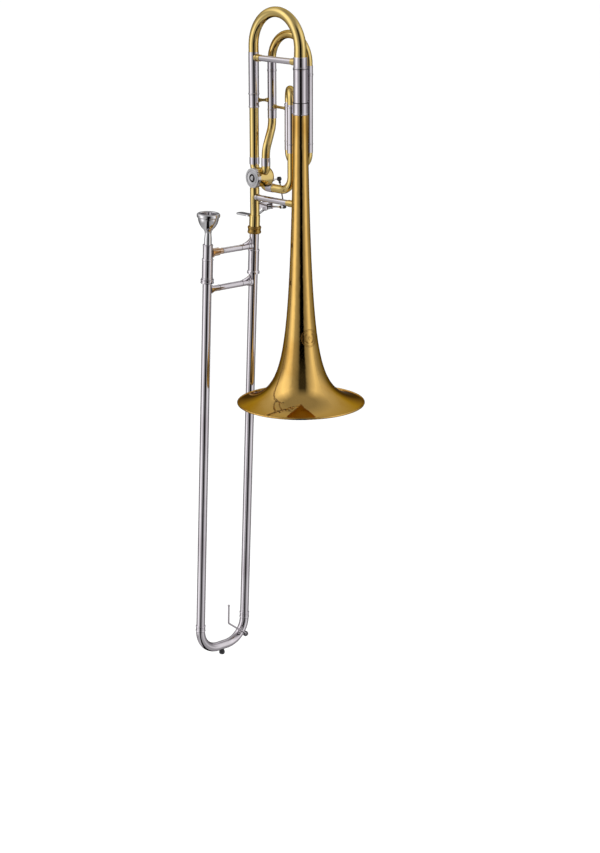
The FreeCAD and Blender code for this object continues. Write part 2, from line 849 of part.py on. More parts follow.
# ---------------------------------------------------------------- slide section (inner slide)
def make_slide_section():
    tenon = [
        (6.6, 0),
        (7.5, 0),
        (7.5, 18.4),
        (8.95, 18.4),
        (8.95, 20.3),
        (8.0, 20.3),
        (8.0, 50),
        (6.6, 50),
    ]
    ring("neck_tenon", tenon, on_slide(NECK_SIDE, 15))

    tube_end = size("inner_tube_end").number
    leg = size("inner_tube_radius")
    bore = leg - size("inner_tube_wall")
    stocking = size("stocking_radius")
    socket = leg + 0.02
    barrel = size("barrel_radius")
    barrel_bore = size("barrel_bore")
    tubes = []
    barrels = []
    for side, y, top in (("neck", NECK_SIDE, 65.0), ("mouthpiece", MOUTH_SIDE, 67.5)):
        start = top + 0.5
        length = tube_end - start
        flare = length - 45
        outline = [(bore, 0), (leg, 0), (leg, flare), (stocking, flare + 1), (stocking, length - 0.5)]
        outline += [(stocking - 0.3, length), (bore, length)]
        tubes.append(ring(f"{side}_inner_tube", outline, on_slide(y, start)))
        closed = [(bore, 0), (barrel - 0.8, 0), (barrel, 1.2), (barrel, 3.0), (barrel - 0.5, 3.4)]
        if side == "neck":
            skirt = 41.9
            closed += [(barrel - 0.5, 36.5), (barrel + 0.9, 38.6), (barrel + 0.9, skirt)]
        else:
            skirt = 42.4
            closed += [(barrel - 0.5, 32.6), (barrel, 33.0), (barrel, 35.2), (9.0, 35.2), (9.0, skirt)]
        closed += [(barrel_bore, skirt), (barrel_bore, 8.0), (socket, 8.0), (socket, 0.5), (bore, 0.5)]
        barrels.append(ring(f"{side}_cork_barrel", closed, on_slide(y, top)))
    group("inner_slide_tubes", tubes)
    group("cork_barrels", barrels)

    wall = size("receiver_radius")
    receiver = [
        (6.5, 0),
        (wall - 0.5, 0),
        (wall, 0.5),
        (wall, 2.0),
        (wall - 0.5, 2.5),
        (wall - 0.5, 23.9),
        (6.5, 23.9),
    ]
    ring("mouthpiece_receiver", receiver, on_slide(MOUTH_SIDE, 43.6))
    leadpipe = [(5.9, 0), (6.45, 0), (6.45, 22), (5.6, 200), (5.1, 200), (5.4, 22)]
    ring("leadpipe", leadpipe, on_slide(MOUTH_SIDE, 62.4))

    lock = [
        (9.08, 0),
        (10.9, 0),
        (11.3, 0.5),
        (11.3, 1.6),
        (10.7, 2.2),
        (10.7, 4.6),
        (11.3, 5.2),
        (11.3, 6.3),
    ]
    lock += [(10.9, 6.8), (9.08, 6.8)]
    blank = turned("slide_lock", lock)
    tab = box("slide_lock_tab", (10.2, -2.0, 1.0), (13.6, 2.0, 5.8))
    slot = box("slide_lock_slot", (-14, -1.6, 3.6), (-8, 1.6, 8))
    latch = cut("slide_lock", fuse("slide_lock_blank", [blank, tab]), [slot])
    keep(latch, "slide_lock", on_slide(MOUTH_SIDE, 102.9))

    distance = size("hand_brace_distance").number
    slide_brace("hand_brace", distance, (wall - 0.5, Length(8.0)), (1.75, 1.2), (15, 6))


def slide_brace(label, distance, tube_radii, flange_factors, flange_lengths):
    """A brace across the hand slide, from the mouthpiece side's tube to the neck side's."""
    start = on_slide(MOUTH_SIDE, distance).Base
    end = on_slide(NECK_SIDE, distance).Base
    brace(label, start, end, size("slide_brace_radius"), tube_radii, flange_factors, DOWN_SLIDE * -1,
          flange_lengths)


def make_mouthpiece():
    """Rim, cup, throat and shank, turned from one curved outline."""
    rim_top = -9.7
    shank_length = 71.0
    rim = 19.5
    cup = 12.8
    outer = [
        Part.Arc(Vector(cup, 0, 1.6), Vector(16.2, 0, 0), Vector(rim, 0, 2.6)),
        Part.LineSegment(Vector(rim, 0, 2.6), Vector(rim, 0, 5.2)),
        Part.Arc(Vector(rim, 0, 5.2), Vector(rim - 0.6, 0, 6.8), Vector(17.5, 0, 7.6)),
        Part.Arc(Vector(17.5, 0, 7.6), Vector(15.2, 0, 17.5), Vector(8.0, 0, 27.4)),
        Part.Arc(Vector(8.0, 0, 27.4), Vector(6.0, 0, 31.5), Vector(5.6, 0, 36.0)),
        Part.LineSegment(Vector(5.6, 0, 36.0), Vector(6.4, 0, 44.0)),
        Part.LineSegment(Vector(6.4, 0, 44.0), Vector(6.4, 0, 54.0)),
        Part.LineSegment(Vector(6.4, 0, 54.0), Vector(5.9, 0, shank_length)),
        Part.LineSegment(Vector(5.9, 0, shank_length), Vector(5.2, 0, shank_length)),
        Part.LineSegment(Vector(5.2, 0, shank_length), Vector(3.6, 0, 30.0)),
        Part.Arc(Vector(3.6, 0, 30.0), Vector(3.9, 0, 26.5), Vector(5.6, 0, 24.0)),
        Part.Arc(Vector(5.6, 0, 24.0), Vector(11.2, 0, 13.0), Vector(cup, 0, 1.6)),
    ]
    face = Part.Face(Part.Wire([curve.toShape() for curve in outer]))
    solid = face.revolve(Vector(0, 0, 0), Vector(0, 0, 1), 360)
    shaped("mouthpiece", solid, on_slide(MOUTH_SIDE, rim_top))


# ---------------------------------------------------------------- outer slide
def slide_point(across, distance):
    """A point in the hand slide's plane, in the slide's own frame."""
    return Vector(0, across, distance)


def make_outer_slide():
    top = size("outer_tube_top").number
    end = size("outer_tube_end").number
    crook = size("crook_start").number
    outer = size("outer_tube_radius")
    bore = size("outer_tube_bore")
    socket = outer + 0.02
    wall = outer + size("ferrule_wall")
    bead = wall + size("bead_height")
    length = size("crook_ferrule")
    outline = [(socket, 0), (wall, 0), (bead, 0.6), (bead, 2.0), (wall, 2.6), (wall, length - 2.4)]
    outline += [(bead, length - 1.8), (bead, length - 0.8), (wall, length - 0.2), (socket, length - 0.2)]
    tubes = []
    ferrules = []
    for side, y in (("neck", NECK_SIDE), ("mouthpiece", MOUTH_SIDE)):
        tubes.append(tube(f"{side}_outer_tube", outer, bore, end - top, on_slide(y, top)))
        ferrules.append(ring(f"{side}_crook_ferrule", outline, on_slide(y, crook - length.number)))
    group("outer_slide_tubes", tubes)
    group("crook_ferrules", ferrules)

    bottom = size("crook_bottom").number
    pipe = size("crook_radius").number
    corners = [(NECK_SIDE, crook), (NECK_SIDE, bottom), (MOUTH_SIDE, bottom), (MOUTH_SIDE, crook)]
    path = rounded_path([slide_point(y, z) for y, z in corners], crook_bend() - 0.05)
    shape = swept(path, pipe).cut(swept(path, pipe - size("tube_wall").number))
    shaped("slide_crook", shape, on_slide(0, 0))

    sunk = 1.6
    bumper = [
        (0, 0),
        (3.8, 0),
        (3.8, 3.0),
        (4.4, 4.2),
        (5.0, 5.6),
        (5.0, 9.0),
        (4.2, 10.4),
        (2.4, 11.2),
        (0, 11.2),
    ]
    blank = turned("tip_bumper", bumper)
    seat = cylinder("bumper_seat", size("crook_radius") + 0.02, 20, at(0, -10, sunk - pipe, ALONG_Y))
    keep(cut("tip_bumper", blank, [seat]), "tip_bumper", on_slide(MOUTH_SIDE / 2, bottom + pipe - sunk))

    distance = size("outer_brace_distance").number
    slide_brace("outer_slide_brace", distance, (outer, outer), (1.5, 1.5), (5, 5))


KEY_ANGLE = 37.0
KEY_TILT = 45.0


def crook_bend():
    """Radius of the centreline of the crook's two bends."""
    return size("crook_bottom").number - size("crook_start").number


def key_place():
    """The water key's frame at the bend's centre: x out of the bend, y along the tube, -z to the bell."""
    angle = math.radians(KEY_ANGLE)
    centre = slide_point(-crook_bend(), size("crook_start").number)
    out = Vector(0, math.cos(angle), math.sin(angle))
    face = Rotation(out, Vector(1, 0, 0).cross(out), Vector(1, 0, 0), "XZY")
    return on_slide(0, 0).multiply(Placement(centre, face))


def make_water_key():
    """A saddle on the tube inside the bend, and a lever that turns in it with its pad on the outside."""
    place = key_place()
    bend = crook_bend()
    outer = size("crook_radius").number
    reach = outer + 3.4
    tilted = Placement(Vector(bend, 0, 0), Rotation(Vector(0, 1, 0), KEY_TILT))
    ears = [
        box(f"key_ear_{n}", (-2.2, y, -reach - 1.8), (2.2, y + 1.4, -outer * 0.8))
        for n, y in enumerate((-8.6, 7.2), start=1)
    ]
    foot = box("key_foot", (-2.8, -8.6, -outer - 0.7), (2.8, 8.6, -outer * 0.8))
    tube_space = torus("key_tube_space", bend, outer + 0.02)
    pin_hole = cylinder("key_pin_hole", 0.9, 30, tilted.multiply(at(0, -15, -reach, ALONG_Y)))
    blank = fuse("water_key_saddle_blank", ears + [foot])
    blank.Placement = tilted
    saddle = cut("water_key_saddle", blank, [tube_space, pin_hole])
    keep(saddle, "water_key_hinge", place)
    nipple = [(2.2, 0), (3.4, 0), (3.4, 2.4), (2.2, 2.4)]
    blank = turned("water_key_nipple", nipple)
    nipple_seat = torus("nipple_seat", bend, outer + 0.02, at(0, 0, -bend - outer + 0.9, ALONG_X))
    nipple_place = place.multiply(at(bend + outer - 0.9, 0, 0, ALONG_X))
    drain = keep(cut("water_key_nipple", blank, [nipple_seat]), "water_key_nipple", nipple_place)
    group("water_key_saddle", [saddle, drain])

    pad_inner = bend + outer + 1.7
    cup_middle = pad_inner + 3.0
    along = Vector(0, 1, 0)
    pivot = tilted.multVec(Vector(0, 0, -reach))
    pin = Part.makeCylinder(0.85, 17.6, pivot - along * 8.8, along)
    barrel = Part.makeCylinder(2.1, 14.0, pivot - along * 7.0, along)
    pad_arm = [
        pivot,
        Vector(bend + 1.0, 0, -outer - 5.5),
        Vector(cup_middle + 1.0, 0, -8.0),
        Vector(cup_middle, 0, -4.4),
    ]
    lift = math.radians(KEY_ANGLE)
    up_slide = Vector(-math.sin(lift), -math.cos(lift), 0)
    elbow = Vector(bend - 42, 0, -6.0)
    tab = [pivot, elbow, elbow + up_slide * 34 + Vector(0, 0, 0.5)]
    clasp = Part.makeCylinder(4.7, 1.6, Vector(cup_middle - 0.8, 0, 0), Vector(1, 0, 0))
    pad_space = Part.makeCylinder(3.82, 20, Vector(cup_middle - 10, 0, 0), Vector(1, 0, 0))
    thumb = Part.makeSphere(2.1, tab[-1])
    pieces = [barrel, swept(rounded_path(pad_arm, 2.5), 1.3), swept(rounded_path(tab, 5), 1.5), clasp, thumb]
    lever = pin
    for piece in pieces:
        lever = lever.fuse(piece)
    shaped("water_key_lever", lever.cut(pad_space), place)
    pad = [(0, 0), (3.8, 0), (3.8, 4.2), (4.7, 4.9), (4.7, 7.4), (3.9, 8.8), (2.2, 9.4), (0, 9.4)]
    ring("water_key_cork", pad, place.multiply(at(pad_inner + 0.02, 0, 0, ALONG_X)))
    coils = [
        torus(f"key_coil_{n}", 2.42, 0.28, at(*(pivot + along * y), ALONG_Y))
        for n, y in enumerate((-5.6, -4.8, 4.8, 5.6), start=1)
    ]
    spring = doc.addObject("Part::Compound", "water_key_spring_coils")
    spring.Links = coils
    keep(spring, "water_key_spring", place)


# ---------------------------------------------------------------- thumb lever
def make_thumb_lever():
    pivot_x = -size("lever_pivot_offset").number
    pivot_z = size("lever_pivot_height").number
    depth = size("lever_depth").number
    pin = size("pivot_screw_radius")
    neck_x = -size("tuning_spacing").number
    near, far = depth - 8.0, depth + 8.0
    roof = pivot_z + 9.8
    bridge = box("saddle_bridge", (pivot_x - 2.5, near, roof - 2.2), (pivot_x + 6.5, far, roof))
    ears = [
        box("saddle_near_ear", (pivot_x - 3.6, near, pivot_z - 4), (pivot_x + 6.5, near + 2, roof)),
        box("saddle_far_ear", (pivot_x - 3.6, far - 2, pivot_z - 4), (pivot_x + 6.5, far, roof)),
    ]
    post = box("saddle_post", (neck_x - 3, 5, pivot_z + 1), (neck_x + 3, near + 1, roof))
    base = box("saddle_base", (neck_x - 5, 4.0, pivot_z - 1), (neck_x + 5, 9.2, pivot_z + 13))
    neck = cylinder("saddle_neck", size("neckpipe_radius") + 0.02, 60, at(neck_x, 0, pivot_z - 20))
    hole = cylinder("saddle_hole", pin, 40, at(pivot_x, near - 5, pivot_z, ALONG_Y))
    blank = fuse("lever_saddle_blank", [bridge, post, base] + ears)
    keep(cut("lever_saddle", blank, [neck, hole]), "lever_saddle")
    screw = [(0, 0), (pin, 0), (pin, 17.2), (2.8, 17.2), (2.8, 18.6), (2.2, 19.2), (0, 19.2)]
    ring("lever_pivot_screw", screw, at(pivot_x, near - 1.0, pivot_z, ALONG_Y))

    hub_radius = 5.0
    hub = Part.makeCylinder(hub_radius, 11.4, Vector(0, near + 2.3, 0), Vector(0, 1, 0))
    bore = Part.makeCylinder(pin.number + 0.05, 30, Vector(0, near - 5, 0), Vector(0, 1, 0))
    arm_route = [
        Vector(-1.5, depth, -2.0),
        Vector(-20, depth, -14),
        Vector(-34, depth, -20.6),
        Vector(-44, depth, -20.6),
    ]
    arm = swept(rounded_path(arm_route, 12), 1.9)
    link_side = depth - 3.5
    short_route = [
        Vector(1.5, depth, 0.6),
        Vector(12, depth, 1.4),
        Vector(28, link_side, 4.0),
        Vector(40, link_side, 5.0),
    ]
    short_arm = swept(rounded_path(short_route, 8), 1.7)
    eye = Part.makeCylinder(2.8, 4.0, Vector(40, link_side - 2, 5.0), Vector(0, 1, 0))
    stud = Part.makeCylinder(1.2, 1.2, Vector(40, link_side + 1.9, 5.0), Vector(0, 1, 0))
    floor = -22.0
    thickness = 2.8
    paddle = Part.makeBox(36, 15, thickness, Vector(-76, depth - 7.5, floor))
    corners = [edge for edge in paddle.Edges if abs(edge.tangentAt(0).z) > 0.9]
    paddle = paddle.makeFillet(6.5, corners)
    rims = [edge for edge in paddle.Edges if abs(edge.CenterOfMass.z - floor - thickness) < 0.01]
    paddle = paddle.makeFillet(1.0, rims)
    lever = hub
    for piece in (arm, short_arm, eye, stud, paddle):
        lever = lever.fuse(piece)
    shaped("thumb_lever", lever.cut(bore), at(pivot_x, 0, pivot_z))

    coils = [
        torus(f"lever_coil_{n}", 6.0, 0.5, at(pivot_x, near + 3.0 + n * 1.15, pivot_z, ALONG_Y))
        for n in range(3)
    ]
    spring = doc.addObject("Part::Compound", "lever_spring_coils")
    spring.Links = coils
    keep(spring, "lever_spring")


def make_link():
    """The link from the lever up to the stop arm: a rod between two ball-joint sockets."""
    centre = valve_centre()
    depth = size("link_depth").number
    pin_x, pin_z = polar(size("stop_radius").number, -30)
    top = Vector(centre.x + pin_x, depth, centre.z + pin_z)
    foot_x = -size("lever_pivot_offset").number + 40
    foot = Vector(foot_x, depth, size("lever_pivot_height").number + 5)
    run = (top - foot).normalize()
    rod = Part.makeCylinder(1.1, (top - foot).Length - 9, foot + run * 4.5, run)
    shaped("link_rod", rod)
    joints = []
    for name, point in (("link_upper_joint", top), ("link_lower_joint", foot)):
        inward = run if name == "link_lower_joint" else run * -1
        socket = Part.makeCylinder(3.6, 6.0, point - Vector(0, 3.0, 0), Vector(0, 1, 0))
        edges = [edge for edge in socket.Edges if edge.Curve.TypeId == "Part::GeomCircle"]
        socket = socket.makeFillet(1.2, edges)
        neck = Part.makeCylinder(2.0, 7.5, point, inward)
        inside = Part.makeCylinder(1.12, 20, point + inward * 4.4, inward)
        joints.append(shaped(name, socket.fuse(neck).cut(inside)))
    group("link_joints", joints)


def main():
    make_bell()
    make_bell_ferrule_and_sleeve()
    make_tuning_slide()
    neck_ferrule = make_upper_neck()
    make_valve()
    make_stop_arm()
    make_attachment(neck_ferrule)
    make_lower_neck()
    knurled_nut()
    make_slide_section()
    make_mouthpiece()
    make_outer_slide()
    make_water_key()
    make_thumb_lever()
    make_link()
    doc.recompute()

    for thing in doc.Objects:
        if "Invalid" in thing.State or "Error" in thing.State:
            raise RuntimeError(f"{thing.Name} did not recompute")
    os.makedirs("parts", exist_ok=True)
    for part in parts:
        if part.Shape.isNull() or not part.Shape.isValid() or not part.Shape.Solids:
            raise RuntimeError(f"{part.Label} is not a valid solid")
        part.Shape.exportStep(os.path.join("parts", f"{part.Label}.step"))
    print(len(parts), "sub-parts written")


main()
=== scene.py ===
import json
import math

import bmesh
import bpy
from mathutils import Matrix, Vector
from mathutils.bvhtree import BVHTree


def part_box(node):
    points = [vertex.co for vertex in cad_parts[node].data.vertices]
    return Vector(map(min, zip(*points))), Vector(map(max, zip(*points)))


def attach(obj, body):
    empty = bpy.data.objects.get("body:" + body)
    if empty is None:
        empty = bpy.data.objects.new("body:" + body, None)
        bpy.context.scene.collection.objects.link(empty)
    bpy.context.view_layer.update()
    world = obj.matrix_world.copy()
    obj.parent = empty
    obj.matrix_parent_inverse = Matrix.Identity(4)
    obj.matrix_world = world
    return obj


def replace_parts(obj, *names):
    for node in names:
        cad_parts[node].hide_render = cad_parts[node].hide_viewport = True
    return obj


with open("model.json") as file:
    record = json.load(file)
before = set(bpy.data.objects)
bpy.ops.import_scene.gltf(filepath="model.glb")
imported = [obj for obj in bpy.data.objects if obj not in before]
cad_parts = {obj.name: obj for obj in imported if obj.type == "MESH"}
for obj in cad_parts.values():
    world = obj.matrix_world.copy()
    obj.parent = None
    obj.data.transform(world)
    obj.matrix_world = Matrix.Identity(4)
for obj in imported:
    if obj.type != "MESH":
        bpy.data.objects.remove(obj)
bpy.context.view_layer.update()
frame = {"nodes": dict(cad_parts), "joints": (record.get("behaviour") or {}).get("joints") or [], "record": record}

NODES = frame["nodes"]
JOINTS = {joint["name"]: joint for joint in frame["joints"]}


# ---------------------------------------------------------------- materials
# Numbered sockets of a colour Mix node.
MIX_FACTOR, MIX_FIRST, MIX_SECOND, MIX_RESULT = 0, 6, 7, 2
HAIRLINE_SCALE = 420.0
HAIRLINE_DEPTH = 0.0004
POLISHED_BUMP = 0.012


class Shader:
    """A Principled material whose colour, roughness and bump come from object-space noise."""

    def __init__(self, name):
        self.material = bpy.data.materials.new(name)
        self.material.use_nodes = True
        self.tree = self.material.node_tree
        self.nodes = self.tree.nodes
        self.surface = self.nodes["Principled BSDF"]
        self.coordinates = self.nodes.new("ShaderNodeTexCoord")

    def link(self, source, target):
        self.tree.links.new(source, target)

    def noise(self, scale, detail=4.0, stretch=(1.0, 1.0, 1.0)):
        mapping = self.nodes.new("ShaderNodeMapping")
        mapping.inputs["Scale"].default_value = stretch
        self.link(self.coordinates.outputs["Object"], mapping.inputs["Vector"])
        texture = self.nodes.new("ShaderNodeTexNoise")
        texture.inputs["Scale"].default_value = scale
        texture.inputs["Detail"].default_value = detail
        self.link(mapping.outputs["Vector"], texture.inputs["Vector"])
        return texture.outputs["Fac"]

    def ramp(self, factor, stops):
        """A colour ramp; each stop is (position, colour)."""
        ramp = self.nodes.new("ShaderNodeValToRGB")
        elements = ramp.color_ramp.elements
        elements[0].position, elements[0].color = stops[0][0], (*stops[0][1], 1)
        elements[1].position, elements[1].color = stops[-1][0], (*stops[-1][1], 1)
        for position, colour in stops[1:-1]:
            elements.new(position).color = (*colour, 1)
        self.link(factor, ramp.inputs["Fac"])
        return ramp.outputs["Color"]

    def spread(self, factor, low, high):
        """Map a noise's usual 0.3 to 0.7 onto low to high."""
        change = self.nodes.new("ShaderNodeMapRange")
        change.inputs["From Min"].default_value = 0.3
        change.inputs["From Max"].default_value = 0.7
        change.inputs["To Min"].default_value = low
        change.inputs["To Max"].default_value = high
        self.link(factor, change.inputs["Value"])
        return change.outputs["Result"]

    def bump(self, height, strength, distance):
        node = self.nodes.new("ShaderNodeBump")
        node.inputs["Strength"].default_value = strength
        node.inputs["Distance"].default_value = distance
        self.link(height, node.inputs["Height"])
        self.link(node.outputs["Normal"], self.surface.inputs["Normal"])


def shade(colour, factor):
    return tuple(min(1.0, channel * factor) for channel in colour)


def metal(name, colour, tarnish, roughness, lacquer=0.0, brushed=0.0):
    """Polished metal: faint cloudy tarnish, polishing haze, and hairline wear in its roughness."""
    shader = Shader(name)
    cloud = shader.noise(14.0, 5.0)
    stops = [(0.30, tarnish), (0.48, shade(colour, 0.97)), (0.72, shade(colour, 1.04))]
    shader.link(shader.ramp(cloud, stops), shader.surface.inputs["Base Color"])
    shader.surface.inputs["Metallic"].default_value = 1.0
    shader.surface.inputs["Specular Tint"].default_value = (*shade(colour, 0.75), 1)
    haze = shader.noise(55.0, 6.0, (1.0, 1.0, 0.15))
    shader.link(shader.spread(haze, roughness * 0.7, roughness * 1.5), shader.surface.inputs["Roughness"])
    hairlines = shader.noise(HAIRLINE_SCALE, 3.0, (1.0, 1.0, 0.05 + 0.4 * (1 - brushed)))
    shader.bump(hairlines, POLISHED_BUMP + 0.05 * brushed, HAIRLINE_DEPTH)
    if lacquer:
        shader.surface.inputs["Coat Weight"].default_value = lacquer
        shader.surface.inputs["Coat Roughness"].default_value = 0.06
        shader.surface.inputs["Coat IOR"].default_value = 1.5
    return shader.material


def banded(name, inside, outside, axis, low, high, roughness):
    """Metal that is one colour between two places along an axis, in metres, and another beyond them."""
    shader = Shader(name)
    split = shader.nodes.new("ShaderNodeSeparateXYZ")
    shader.link(shader.coordinates.outputs["Object"], split.inputs["Vector"])
    along = split.outputs[axis]
    steps = []
    for edge, comparison in ((low, "GREATER_THAN"), (high, "LESS_THAN")):
        step = shader.nodes.new("ShaderNodeMath")
        step.operation = comparison
        shader.link(along, step.inputs[0])
        step.inputs[1].default_value = edge
        steps.append(step.outputs["Value"])
    both = shader.nodes.new("ShaderNodeMath")
    both.operation = "MULTIPLY"
    shader.link(steps[0], both.inputs[0])
    shader.link(steps[1], both.inputs[1])
    cloud = shader.noise(14.0, 5.0)
    mix = shader.nodes.new("ShaderNodeMix")
    mix.data_type = "RGBA"
    shader.link(both.outputs["Value"], mix.inputs[MIX_FACTOR])
    for socket, colour in ((MIX_FIRST, outside), (MIX_SECOND, inside)):
        stops = [(0.30, shade(colour, 0.82)), (0.48, shade(colour, 0.97)), (0.72, shade(colour, 1.04))]
        shader.link(shader.ramp(cloud, stops), mix.inputs[socket])
    shader.link(mix.outputs[MIX_RESULT], shader.surface.inputs["Base Color"])
    shader.surface.inputs["Metallic"].default_value = 1.0
    haze = shader.noise(55.0, 6.0, (0.3, 0.3, 1.0))
    shader.link(shader.spread(haze, roughness * 0.7, roughness * 1.5), shader.surface.inputs["Roughness"])
    hairlines = shader.noise(HAIRLINE_SCALE, 3.0, (0.2, 0.2, 1.0))
    shader.bump(hairlines, POLISHED_BUMP, HAIRLINE_DEPTH)
    return shader.material


def soft(name, colour, light, roughness, grain, strength):
    """Rubber: mottled colour with a grained surface."""
    shader = Shader(name)
    speckle = shader.noise(grain, 8.0)
    stops = [(0.35, colour), (0.65, light)]
    shader.link(shader.ramp(speckle, stops), shader.surface.inputs["Base Color"])
    shader.link(shader.spread(speckle, roughness * 0.85, roughness), shader.surface.inputs["Roughness"])
    shader.bump(speckle, strength, 0.0006)
    return shader.material


YELLOW_BRASS = (0.82, 0.61, 0.23)
GOLD_BRASS = (0.72, 0.45, 0.13)
ROSE_BRASS = (0.80, 0.58, 0.42)
NICKEL_SILVER = (0.70, 0.66, 0.70)

MATERIALS = {
    "yellow_brass": metal("yellow_brass", YELLOW_BRASS, (0.66, 0.44, 0.13), 0.065, 0.08),
    "gold_brass": metal("gold_brass", GOLD_BRASS, (0.60, 0.34, 0.08), 0.055, 0.08),
    "knurled_brass": metal("knurled_brass", (0.40, 0.25, 0.07), (0.22, 0.12, 0.03), 0.24),
    "nickel_silver": metal("nickel_silver", NICKEL_SILVER, (0.58, 0.53, 0.57), 0.075),
    "silver_plate": metal("silver_plate", (0.80, 0.79, 0.81), (0.66, 0.64, 0.66), 0.06),
    "spring_steel": metal("spring_steel", (0.22, 0.20, 0.20), (0.12, 0.10, 0.10), 0.28, 0.0, 0.5),
    "engraved_line": metal("engraved_line", (0.24, 0.12, 0.03), (0.17, 0.08, 0.02), 0.35),
    # seam_shadow: near-black metal for thin rings that stand in for the shade in gaps and grooves, i.e. painted
    # shadow.
    "seam_shadow": metal("seam_shadow", (0.05, 0.045, 0.045), (0.03, 0.025, 0.025), 0.45),
    "tuning_brace": banded("tuning_brace", NICKEL_SILVER, YELLOW_BRASS, "X", -0.0970, -0.0215, 0.08),
    "bell_brace": banded("bell_brace", NICKEL_SILVER, YELLOW_BRASS, "X", -0.2, -0.0330, 0.08),
    "hand_brace": banded("hand_brace", ROSE_BRASS, NICKEL_SILVER, "Y", -0.12, -0.0705, 0.10),
    "black_rubber": soft("black_rubber", (0.010, 0.010, 0.012), (0.028, 0.028, 0.032), 0.6, 900.0, 0.25),
}


def dress(piece, name):
    """Give a piece a material and the record's slot of the same name."""
    piece.data.materials.clear()
    piece.data.materials.append(MATERIALS[name])


# Finishes that refine one of the record's slots, and the nodes that wear them.
SPECIAL_FINISH = {
    "lock_nut": "knurled_brass",
    "tuning_slide_brace": "tuning_brace",
    "bell_brace": "bell_brace",
    "hand_brace": "hand_brace",
}
SLOT_OF = {entry["node"]: entry["material_slot"] for entry in frame["record"]["subparts"]}
for node, thing in NODES.items():
    dress(thing, SPECIAL_FINISH.get(node, SLOT_OF[node]))


# ---------------------------------------------------------------- studio
FLOOR_HEIGHT = -1.14
CAMERA_AZIMUTH = math.radians(48.0)
CAMERA_PITCH = math.radians(16.15)
CAMERA_ROLL = math.radians(-0.106)
CAMERA_DISTANCE = 3.4356
CAMERA_TARGET_HEIGHT = -0.0417
CAMERA_SIDESTEP = -0.0017
CAMERA_LENS = 85.42
SENSOR_HEIGHT = 36.0


def make_camera():
    azimuth, pitch = CAMERA_AZIMUTH, CAMERA_PITCH
    right = Vector((math.cos(azimuth), math.sin(azimuth), 0))
    level = math.cos(pitch)
    back = Vector((math.sin(azimuth) * level, -math.cos(azimuth) * level, math.sin(pitch)))
    up = back.cross(right)
    turn = Matrix((right, up, back)).transposed().to_4x4()
    place = Vector((0, 0, CAMERA_TARGET_HEIGHT)) + right * CAMERA_SIDESTEP + back * CAMERA_DISTANCE
    data = bpy.data.cameras.new("camera")
    data.sensor_fit = "VERTICAL"
    data.sensor_height = SENSOR_HEIGHT
    data.lens = CAMERA_LENS
    data.clip_end = 200.0
    camera = bpy.data.objects.new("camera", data)
    bpy.context.scene.collection.objects.link(camera)
    camera.matrix_world = Matrix.Translation(place) @ turn @ Matrix.Rotation(CAMERA_ROLL, 4, "Z")
    bpy.context.scene.camera = camera


def make_floor():
    mesh = bpy.data.meshes.new("floor")
    reach = 60.0
    corners = [(-reach, -reach), (reach, -reach), (reach, reach), (-reach, reach)]
    mesh.from_pydata([(x, y, FLOOR_HEIGHT) for x, y in corners], [], [(0, 1, 2, 3)])
    floor = bpy.data.objects.new("floor", mesh)
    bpy.context.scene.collection.objects.link(floor)
    material = bpy.data.materials.new("floor_white")
    material.use_nodes = True
    surface = material.node_tree.nodes["Principled BSDF"]
    surface.inputs["Base Color"].default_value = (0.93, 0.93, 0.93, 1)
    surface.inputs["Roughness"].default_value = 0.9
    surface.inputs["Specular IOR Level"].default_value = 0.1
    mesh.materials.append(material)
    floor.visible_glossy = False


# Brightness of the studio as the metal mirrors it: (degrees to the right of the camera, value).
EYE_LEVEL_RING = [
    (-180, 0.10),
    (-150, 0.14),
    (-120, 0.34),
    (-98, 0.50),
    (-84, 1.10),
    (-70, 1.50),
    (-56, 1.20),
    (-44, 0.60),
    (-30, 0.42),
    (-16, 0.26),
    (-5, 0.0),
    (20, 0.0),
    (28, 0.30),
    (44, 0.46),
    (58, 0.95),
    (68, 1.20),
    (82, 0.86),
    (100, 0.42),
    (130, 0.25),
    (155, 0.14),
    (180, 0.10),
]
HIGH_RING = [
    (-180, 0.55),
    (-135, 0.62),
    (-110, 1.05),
    (-84, 1.50),
    (-60, 1.20),
    (-40, 0.50),
    (-16, 0.24),
    (-6, 0.04),
    (20, 0.04),
    (30, 0.30),
    (50, 0.80),
    (68, 1.15),
    (92, 0.85),
    (125, 0.62),
    (180, 0.55),
]
# Under the instrument, the brightness across the camera's view: (-1 to the left to 1 to the right, value).
UNDERFOOT_STRIP = [
    (-1.0, 0.36),
    (-0.34, 0.58),
    (-0.24, 0.0),
    (0.10, 0.0),
    (0.18, 0.32),
    (0.50, 0.44),
    (1.0, 0.34),
]
OVERHEAD = 0.34
OPEN_WHITE = 1.12


